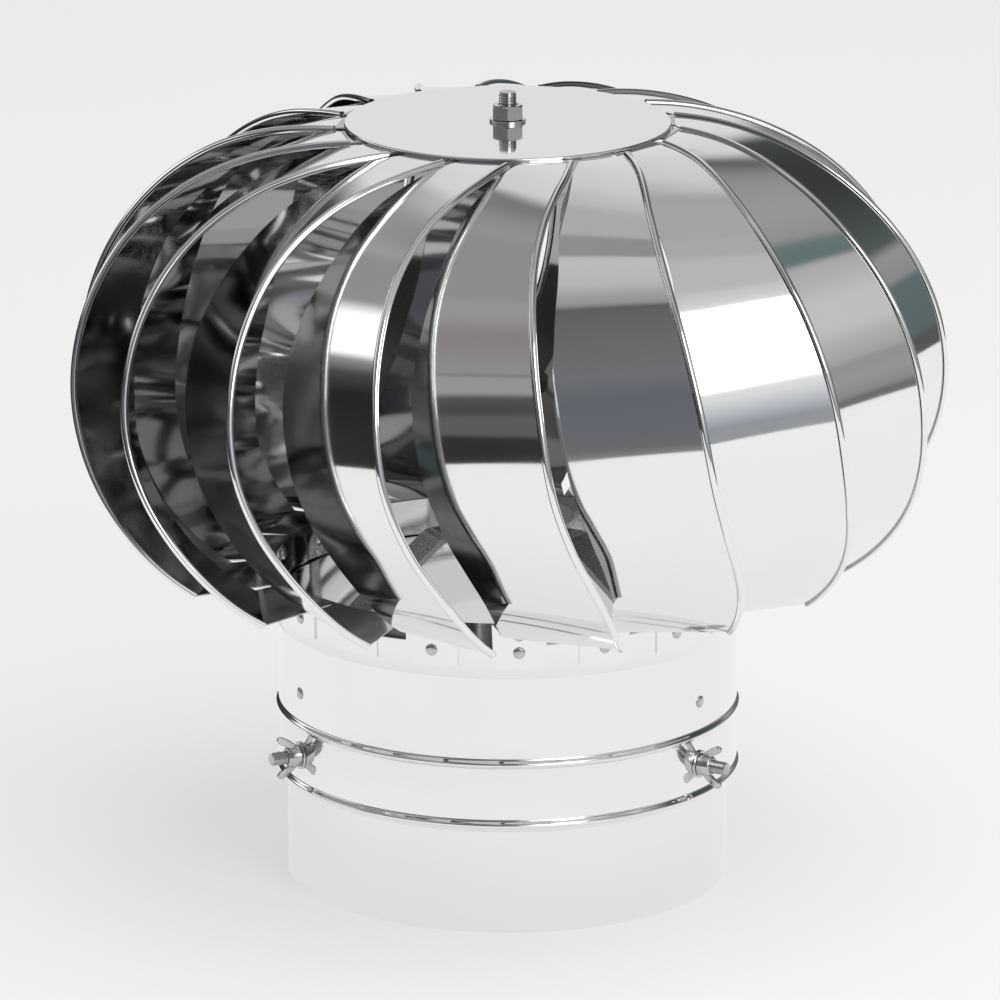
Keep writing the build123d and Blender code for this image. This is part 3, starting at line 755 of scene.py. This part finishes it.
# -------------------------------------------------------- cover disc
# A flat polished disc with a rounded, turned-down edge that hides the tabs.  The shaft's
# top nut clamps it.
cover_radius = 72.6
cover_level = 344.2
cover_sheet = 0.8
cover_lip = 1.6
cover_round = 0.9
shaft_radius = 4.0
cover_bore = shaft_radius + 0.05
cover_top = cover_level + cover_sheet
cover_line = [(reach, cover_top) for reach in (cover_bore, 20.0, 40.0, 60.0, 70.0)]
round_run = 8
for index in range(round_run + 1):
    bend = radians(90 * index / round_run)
    reach = cover_radius - cover_round + cover_round * sin(bend)
    cover_line.append((reach, cover_top - cover_round + cover_round * cos(bend)))
cover_line += [
    (cover_radius, cover_top - cover_lip),
    (cover_radius - cover_sheet, cover_top - cover_lip),
    (cover_radius - cover_sheet, cover_level),
    (cover_bore, cover_level),
]
cover_metal = polished_steel("cover_sheet", 0.02 * mm, 10.0, ("Object", (400.0, 9.0, 400.0)))
cover = turned("cover_plate", cover_line, 192, cover_metal)
settle(cover, "head", "polished_sheet", "top_disc")


# -------------------------------------------------------- rivets
# Blind rivets with domed heads: two through each foot into the hoop, one through each tab
# into the hub plate, and one through each strap's foot into the neck.
def plain_metal(name, colour, roughness, grain_scale, grain_depth, wear):
    """A bright or dull metal with a fine grain, uneven gloss and darker marks."""
    material, tree, surface = new_material(name)
    spot = got(tree, "ShaderNodeTexCoord", output="Object")
    fine = noise(tree, spot, grain_scale, 6.0)
    coarse = noise(tree, spot, grain_scale / 12, 3.0)
    marks = spread(tree, coarse, 0.0, wear, start=0.35, end=0.7)
    darker = tuple(0.55 * channel for channel in colour[:3]) + (1.0,)
    gloss = spread(tree, fine, 0.7 * roughness, 1.3 * roughness)
    grained = bump(tree, fine, 0.5, grain_depth)
    coat(tree, surface, blend(tree, marks, colour, darker), gloss, grained)
    return material


def polar_point(tree, azimuth, reach, height):
    """A point at a reach on an azimuth."""
    side = times(tree, reckon(tree, "SINE", azimuth), reach)
    depth = times(tree, reckon(tree, "COSINE", azimuth), times(tree, reach, -1.0))
    return point(tree, side, depth, height)


rivet_metal = plain_metal("rivet_steel", (0.60, 0.60, 0.59, 1.0), 0.22, 2400.0, 0.01 * mm, 0.5)
rivet_radius = 1.6
rivet_head_radius = 2.7
rivet_head_height = 0.9
rivet_tail_height = 0.7
finish_input = ("Finish", "NodeSocketMaterial")
copies_tree, taken, given = new_shape_tree(
    "copies_round_the_axis",
    ["First Azimuth", "Reach", "Height", "Tilt"],
    [("Piece", "NodeSocketObject"), ("Count", "NodeSocketInt"), finish_input],
)
spots = got(copies_tree, "GeometryNodePoints", {"Count": taken["Count"]})
number = got(copies_tree, "GeometryNodeInputIndex")
pitch = reckon(copies_tree, "DIVIDE", 2 * pi, taken["Count"])
azimuth = reckon(copies_tree, "MULTIPLY_ADD", number, pitch, taken["First Azimuth"])
spot = polar_point(copies_tree, azimuth, taken["Reach"], taken["Height"])
spots = laid_on(copies_tree, spots, spot)
original = place(copies_tree, "GeometryNodeObjectInfo", {"Object": taken["Piece"]}).outputs
facing = point(copies_tree, taken["Tilt"], 0.0, azimuth)
copy_inputs = {"Points": spots, "Instance": original["Geometry"], "Rotation": facing}
copied = got(copies_tree, "GeometryNodeInstanceOnPoints", copy_inputs)
give(copies_tree, copied, given, taken["Finish"])
outwards = radians(90)


def copies(name, pieces, count, azimuth, reach, heights, tilt, finish, crease=32):
    """Copies of the pieces round the axis as one mesh, in place of the pieces."""
    settings = [
        in_metres({"Reach": reach, "Height": height})
        | {"Piece": piece, "Count": count, "First Azimuth": azimuth, "Tilt": tilt, "Finish": finish}
        for height in heights
        for piece in pieces
    ]
    made = grow(name, copies_tree, *settings, crease=crease)
    for piece in pieces:
        bpy.data.objects.remove(piece)
    return made


def rivet(name, grip):
    """A rivet standing on its axis: domed head, shank through the grip, and a set tail."""
    rim_height = 0.2
    tail_end = -grip - rivet_tail_height
    outline = [
        (0.0, tail_end),
        (rivet_head_radius - 0.4, tail_end),
        (rivet_head_radius, tail_end + 0.3),
        (rivet_head_radius, -grip),
        (rivet_radius, -grip),
        (rivet_radius, 0.0),
        (rivet_head_radius, 0.0),
    ]
    for step in range(7):
        bend = radians(15 * step)
        dome = rim_height + (rivet_head_height - rim_height) * sin(bend)
        outline.append((rivet_head_radius * cos(bend), dome))
    return turned(name, outline, 20, rivet_metal)


tail_seat = sqrt(ring_inner_radius**2 - rivet_head_radius**2)
foot_head_reach = foot_reach + vane_sheet
foot_rivet = rivet("foot_rivet", foot_head_reach - tail_seat)
foot_place = (vane_count, foot_azimuth, foot_head_reach, (131.0, 139.0), outwards, rivet_metal)
lower_rivets = copies("foot_rivets", [foot_rivet], *foot_place)
settle(lower_rivets, "head", "rivet_steel", "lower_rivets")

hub_sheet = 1.0
tab_rivet_reach = 60.0
tab_top = hub_level + vane_sheet
tab_rivet = rivet("tab_rivet", hub_sheet + vane_sheet)
tab_place = (vane_count, tab_azimuth, tab_rivet_reach, (tab_top,), 0.0, rivet_metal)
upper_rivets = copies("tab_rivets", [tab_rivet], *tab_place)
settle(upper_rivets, "head", "rivet_steel", "upper_rivets")

leg_count = 3
leg_azimuth = radians(-64)
legs = (leg_count, leg_azimuth)
leg_rivet_height = 94.0
leg_sheet = 2.5
leg_half_width = 9.0
leg_face_reach = sqrt((neck_radius - collar_sheet) ** 2 - leg_half_width**2) - seat_gap
leg_inner_reach = leg_face_reach - leg_sheet
neck_seat = neck_radius + seat_gap
leg_rivet = rivet("strap_rivet", neck_seat - leg_inner_reach)
leg_place = (*legs, neck_seat, (leg_rivet_height,), outwards, rivet_metal)
leg_rivets = copies("strap_rivets", [leg_rivet], *leg_place)
settle(leg_rivets, "base", "rivet_steel", "leg_rivets")

# -------------------------------------------------------- nuts
# Pressed hexagon nuts with chamfered corners: four on the shaft and three small ones under
# the straps' ends.
bright = (0.66, 0.66, 0.65, 1.0)
bright_metal = plain_metal("bright_fastener", bright, 0.16, 1800.0, 0.02 * mm, 0.35)
hex_sizes = ["Flats", "Thickness", "Bore", "Level", "Turn"]
hex_tree, taken, given = new_shape_tree("hexagon", hex_sizes, [finish_input])
hex_rows = 8
hex_columns = 72
grid, round_share, row_share = unit_grid(hex_tree, hex_columns + 1, hex_rows)
row = reckon(hex_tree, "ROUND", times(hex_tree, row_share, hex_rows - 1))
angle = times(hex_tree, round_share, 2 * pi)
from_corner = minus(hex_tree, reckon(hex_tree, "FLOORED_MODULO", angle, pi / 3), pi / 6)
half_flats = times(hex_tree, taken["Flats"], 0.5)
hexagon_reach = reckon(hex_tree, "DIVIDE", half_flats, reckon(hex_tree, "COSINE", from_corner))
chamfer_share = 0.96
chamfer_reach = times(hex_tree, half_flats, chamfer_share)
chamfer_drop = times(hex_tree, minus(hex_tree, hexagon_reach, chamfer_reach), 0.5)
bore_depth = 0.4 * mm
bore = taken["Bore"]
bore_mouth = reckon(hex_tree, "ADD", bore, bore_depth)
top_row = taken["Thickness"]
shoulder = minus(hex_tree, top_row, chamfer_drop)
bore_end = minus(hex_tree, top_row, bore_depth)


def by_row(*choices):
    """The value for each row of the grid."""
    picker = place(hex_tree, "GeometryNodeIndexSwitch", data_type="FLOAT")
    while len(picker.index_switch_items) < len(choices):
        picker.index_switch_items.new()
    numbered = {str(index): choice for index, choice in enumerate(choices)}
    fill(hex_tree, picker, {"Index": row} | numbered)
    return picker.outputs[0]


lower_reaches = (bore, bore_mouth, chamfer_reach, hexagon_reach)
row_reach = by_row(*lower_reaches, *reversed(lower_reaches))
row_height = by_row(bore_depth, 0.0, 0.0, chamfer_drop, shoulder, top_row, top_row, bore_end)
nut_spot = polar_point(hex_tree, angle, row_reach, row_height)
nut_shell = merged(hex_tree, laid_on(hex_tree, grid["Mesh"], nut_spot), 1e-6)
wall_height = minus(hex_tree, top_row, 2 * bore_depth)
wall_sizes = {"Vertices": hex_columns, "Radius": bore, "Depth": wall_height}
bore_wall = got(hex_tree, "GeometryNodeMeshCylinder", wall_sizes, fill_type="NONE")
bore_wall = got(hex_tree, "GeometryNodeFlipFaces", {"Mesh": bore_wall})
bore_wall = moved(hex_tree, bore_wall, times(hex_tree, top_row, 0.5), radians(-90))
nut_body = merged(hex_tree, joined(hex_tree, nut_shell, bore_wall), 2e-6)
nut_body = moved(hex_tree, nut_body, taken["Level"], taken["Turn"])
give(hex_tree, nut_body, given, taken["Finish"])


def hexagon(flats, thickness, bore, level, turn, finish):
    """Sizes of one hexagon nut, in millimetres and radians."""
    lengths = {"Flats": flats, "Thickness": thickness, "Bore": bore, "Level": level}
    return in_metres(lengths) | {"Turn": turn, "Finish": finish}


nut_flats = 13.0
nut_height = 6.5
washer_thickness = 1.2
shaft_bore = shaft_radius + 0.02
hub_underside = hub_level - hub_sheet
shaft_nut_sizes = [
    hexagon(nut_flats, nut_height, shaft_bore, level, turn, bright_metal)
    for level, turn in (
        (131.0, 0.2),
        (228.0, 0.5),
        (hub_underside - washer_thickness - nut_height, 0.1),
        (cover_top + washer_thickness, 0.0),
    )
]
shaft_nuts = grow("shaft_hexagon_nuts", hex_tree, *shaft_nut_sizes, crease=20)
settle(shaft_nuts, "head", "bright_fastener", "shaft_nuts")

small_nut_height = 3.2
small_nut_sizes = hexagon(7.0, small_nut_height, 2.02, 0.0, 0.0, bright_metal)
small_nut = grow("small_nut", hex_tree, small_nut_sizes, crease=20)
leg_seat_height = 160.0
leg_screw_reach = 24.0
leg_nut_base = leg_seat_height - leg_sheet - small_nut_height
end_place = (*legs, leg_screw_reach, (leg_nut_base,), 0.0, bright_metal)
leg_nuts = copies("strap_end_nuts", [small_nut], *end_place, crease=20)
settle(leg_nuts, "base", "bright_fastener", "leg_nuts")


# -------------------------------------------------------- washers
# Flat washers under the shaft's two hub nuts and under the wing nuts.
def washer(name, inner, outer, base, thickness, segments):
    """A stamped washer with softened rims."""
    soft = 0.15
    top = base + thickness
    outline = [(inner, base), (outer - soft, base), (outer, base + soft), (outer, top - soft)]
    outline += [(outer - soft, top), (inner, top)]
    return turned(name, outline, segments, bright_metal)


washer_radius = 8.0
washer_base = hub_underside - washer_thickness
for name, base in (("hub_washer", washer_base), ("cover_washer", cover_top)):
    shaft_washer = washer(name, shaft_bore, washer_radius, base, washer_thickness, 48)
    settle(shaft_washer, "head", "bright_fastener", "shaft_washers")

bolt_radius = 3.0
bolt_bore = bolt_radius + 0.02
bolt_height = 65.0
bolt_washer_thickness = 1.0
bolt_washer = washer("bolt_washer", bolt_bore, 6.2, 0.0, bolt_washer_thickness, 40)
washer_place = (*legs, neck_seat, (bolt_height,), outwards, bright_metal)
bolt_washers = copies("neck_washers", [bolt_washer], *washer_place)
settle(bolt_washers, "base", "bright_fastener", "bolt_washers")

# -------------------------------------------------------- shaft and bolts
# The shaft is an M8 rod, threaded all along.  Three M6 bolts come out through the neck
# for the wing nuts.  Each thread is a ridge wound on a plain core.
thread_sizes = ["Radius", "Length", "Pitch", "Base"]
thread_tree, taken, given = new_shape_tree("threaded_rod", thread_sizes, [finish_input])
ridge = times(thread_tree, taken["Pitch"], 0.36)
tooth_share = 0.58
tooth_stretch = 1.6
wound_length = minus(thread_tree, taken["Length"], times(thread_tree, taken["Pitch"], 2.0))
tooth_reach = minus(thread_tree, taken["Radius"], times(thread_tree, ridge, tooth_share))
helix_sizes = {
    "Resolution": 18,
    "Rotations": reckon(thread_tree, "DIVIDE", wound_length, taken["Pitch"]),
    "Start Radius": tooth_reach,
    "End Radius": tooth_reach,
    "Height": wound_length,
}
helix = got(thread_tree, "GeometryNodeCurveSpiral", helix_sizes)
helix = got(thread_tree, "GeometryNodeSetCurveNormal", {"Curve": helix}, mode="Z_UP")
tooth_radius = times(thread_tree, ridge, tooth_share * tooth_stretch)
tooth_sizes = {"Resolution": 4, "Radius": tooth_radius}
tooth = got(thread_tree, "GeometryNodeCurvePrimitiveCircle", tooth_sizes)
tooth_shape = {"Geometry": tooth, "Scale": (1.0 / tooth_stretch, 1.0, 1.0)}
tooth = got(thread_tree, "GeometryNodeTransform", tooth_shape)
thread_parts = {"Curve": helix, "Profile Curve": tooth, "Fill Caps": True}
wound = got(thread_tree, "GeometryNodeCurveToMesh", thread_parts)
wound = moved(thread_tree, wound, reckon(thread_tree, "ADD", taken["Base"], taken["Pitch"]))
core_reach = minus(thread_tree, taken["Radius"], ridge)
core_sizes = {"Vertices": 36, "Radius": core_reach, "Depth": taken["Length"]}
core = got(thread_tree, "GeometryNodeMeshCylinder", core_sizes)
middle = reckon(thread_tree, "MULTIPLY_ADD", taken["Length"], 0.5, taken["Base"])
core = moved(thread_tree, core, middle)
give(thread_tree, joined(thread_tree, core, wound), given, taken["Finish"])
thread_metal = plain_metal("thread_steel", (0.56, 0.56, 0.56, 1.0), 0.2, 2000.0, 0.01 * mm, 0.5)


def threaded(name, radius, base, length, pitch):
    """A threaded rod standing on the axis."""
    lengths = {"Radius": radius, "Length": length, "Pitch": pitch, "Base": base}
    return grow(name, thread_tree, in_metres(lengths) | {"Finish": thread_metal})


shaft_base = 129.5
shaft_top = 358.4
rod = threaded("threaded_shaft", shaft_radius, shaft_base, shaft_top - shaft_base, pitch=1.25)
settle(rod, "head", "bright_fastener", "shaft")

bolt_head_height = 4.0
bolt_end_reach = 117.5
bolt_head_seat = leg_inner_reach - bolt_head_height
bolt_length = bolt_end_reach - leg_inner_reach
bolt_shank = threaded("bolt_shank", bolt_radius, bolt_head_height, bolt_length, pitch=1.0)
bolt_head_sizes = hexagon(10.0, bolt_head_height, 0.4, 0.0, 0.0, thread_metal)
bolt_head = grow("bolt_head", hex_tree, bolt_head_sizes, crease=20)
bolt_place = (*legs, bolt_head_seat, (bolt_height,), outwards, thread_metal)
bolts = copies("strap_bolts", [bolt_shank, bolt_head], *bolt_place)
settle(bolts, "base", "bright_fastener", "spider_bolts")

# -------------------------------------------------------- wing nuts
# Cast wing nuts on the three bolts: a tapered hub and two rounded wings, one up and one
# down, with soft cast edges.
wing_seat = neck_seat + bolt_washer_thickness
wing_thickness = 1.8
wing_hub_radius = 5.0
wing_hub_top_radius = 4.15
wing_hub_height = 6.0
wing_soft = 0.45
wing_metal = plain_metal("cast_wing", (0.62, 0.62, 0.61, 1.0), 0.2, 1500.0, 0.05 * mm, 0.45)
hub_outline = [
    (bolt_bore, 0.0),
    (wing_hub_radius - 0.3, 0.0),
    (wing_hub_radius, 0.3),
    (wing_hub_top_radius + 0.15, wing_hub_height - 0.5),
    (wing_hub_top_radius - 0.4, wing_hub_height),
    (bolt_radius + 0.3, wing_hub_height),
    (bolt_bore, wing_hub_height - 0.3),
]
hub = turned("wing_hub", hub_outline, 36, wing_metal, crease=50)
wing_line = [
    (3.2, 0.8), (4.6, 0.8), (6.4, 2.6), (8.0, 4.6), (9.3, 6.8), (9.85, 8.4), (9.6, 9.7),
    (8.7, 10.45), (7.5, 10.3), (6.6, 9.2), (5.4, 7.0), (4.2, 5.2), (3.2, 4.9),
]
shape = bmesh.new()
for side in (1, -1):
    rims = [
        [
            shape.verts.new((face_side * wing_thickness / 2 * mm, side * across * mm, up * mm))
            for across, up in wing_line
        ]
        for face_side in (1, -1)
    ]
    shape.faces.new(rims[0][::side])
    shape.faces.new(rims[1][::-side])
    for index in range(len(wing_line)):
        after = (index + 1) % len(wing_line)
        shape.faces.new((rims[0][index], rims[1][index], rims[1][after], rims[0][after]))
bmesh.ops.recalc_face_normals(shape, faces=shape.faces)
bmesh.ops.bevel(
    shape,
    geom=[edge for edge in shape.edges if edge.calc_face_angle(0) > radians(60)],
    offset=wing_soft * mm,
    segments=3,
    profile=0.5,
    affect="EDGES",
)
wings = as_object("wings", shape, wing_metal, crease=50)
wing_place = (*legs, wing_seat, (bolt_height,), outwards, wing_metal)
wing_nuts = copies("neck_wing_nuts", [hub, wings], *wing_place, crease=50)
settle(wing_nuts, "base", "bright_fastener", "wing_nuts")

# -------------------------------------------------------- strap end screws
# Three small pan-head screws hold the housing's flange down on the straps' ends.
screw_head_radius = 3.5
screw_head_height = 2.6
screw_rim_height = 0.9
screw_crown_radius = 2.0
screw_radius = 2.0
flange_top = 164.0
recess_floor = screw_head_height - 1.2
screw_tip = leg_nut_base - 1.5 - flange_top
screw_outline = [
    (0.0, screw_tip),
    (screw_radius - 0.4, screw_tip),
    (screw_radius, screw_tip + 0.4),
    (screw_radius, 0.0),
    (screw_head_radius, 0.0),
    (screw_head_radius, screw_rim_height),
]
for step in range(1, 6):
    bend = radians(15 * step)
    reach = screw_crown_radius + (screw_head_radius - screw_crown_radius) * cos(bend)
    rise = (screw_head_height - screw_rim_height) * sin(bend)
    screw_outline.append((reach, screw_rim_height + rise))
screw_outline += [(1.6, screw_head_height), (1.3, recess_floor), (0.0, recess_floor)]
leg_screw = turned("strap_end_screw", screw_outline, 28, bright_metal)
screw_place = (*legs, leg_screw_reach, (flange_top,), 0.0, bright_metal)
leg_screws = copies("strap_end_screws", [leg_screw], *screw_place)
settle(leg_screws, "base", "bright_fastener", "leg_screws")


# -------------------------------------------------------- straps and hub plate
# Cold-rolled flat bar, left as it came from the mill: a satin face with long grain.
def dress(material, *nodes):
    """Give CAD pieces their finish."""
    for node in nodes:
        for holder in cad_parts[node].material_slots:
            holder.material = material


strap_metal = plain_metal("strap_steel", (0.56, 0.56, 0.55, 1.0), 0.28, 700.0, 0.04 * mm, 0.5)
dress(strap_metal, "spider_leg_1", "spider_leg_2", "spider_leg_3", "hub_plate")

# -------------------------------------------------------- bearing housing
# Turned aluminium tube with a flange, clear of the head all round.
aluminium = (0.72, 0.73, 0.74, 1.0)
housing_metal = plain_metal("turned_aluminium", aluminium, 0.3, 900.0, 0.03 * mm, 0.25)
housing_outline = [
    (11.02, 136.0), (14.5, 136.0), (15.0, 136.5), (15.0, 159.4), (15.6, 160.0), (29.5, 160.0),
    (30.0, 160.5), (30.0, 163.5), (29.5, 164.0), (15.6, 164.0), (15.0, 164.6), (15.0, 225.5),
    (14.5, 226.0), (11.02, 226.0), (11.02, 216.5), (9.5, 216.5), (9.5, 145.5), (11.02, 145.5),
]
housing = turned("housing_tube", housing_outline, 96, housing_metal)
settle(housing, "base", "housing_aluminium", "bearing_housing")

# -------------------------------------------------------- bearings
# Two deep-groove ball bearings with ground rings, bright balls and moulded cages, held by
# spring clips.
race_metal = plain_metal("bearing_steel", (0.63, 0.64, 0.65, 1.0), 0.12, 3000.0, 0.005 * mm, 0.2)
dress(race_metal, "bearing_outer_rings", "bearing_inner_rings", "bearing_balls")
dress(race_metal, "race_washer", "spacer_sleeve", "hub_spacer")
clip_metal = plain_metal("spring_clip", (0.20, 0.19, 0.18, 1.0), 0.35, 1500.0, 0.02 * mm, 0.6)
dress(clip_metal, "circlips")


def moulded(name, colour, roughness, grain_scale, grain_depth):
    """Moulded plastic or rubber with a fine skin."""
    material, tree, surface = new_material(name)
    skin = noise(tree, got(tree, "ShaderNodeTexCoord", output="Object"), grain_scale, 4.0)
    lighter = tuple(min(1.0, 1.25 * channel) for channel in colour[:3]) + (1.0,)
    gloss = spread(tree, skin, 0.8 * roughness, 1.2 * roughness)
    grained = bump(tree, skin, 0.5, grain_depth)
    coat(tree, surface, blend(tree, skin, colour, lighter), gloss, grained, metallic=0.0)
    return material


dress(moulded("cage_nylon", (0.62, 0.58, 0.47, 1.0), 0.4, 900.0, 0.01 * mm), "bearing_cages")
dress(moulded("seal_rubber", (0.025, 0.025, 0.026, 1.0), 0.55, 1200.0, 0.02 * mm), "dust_cap")
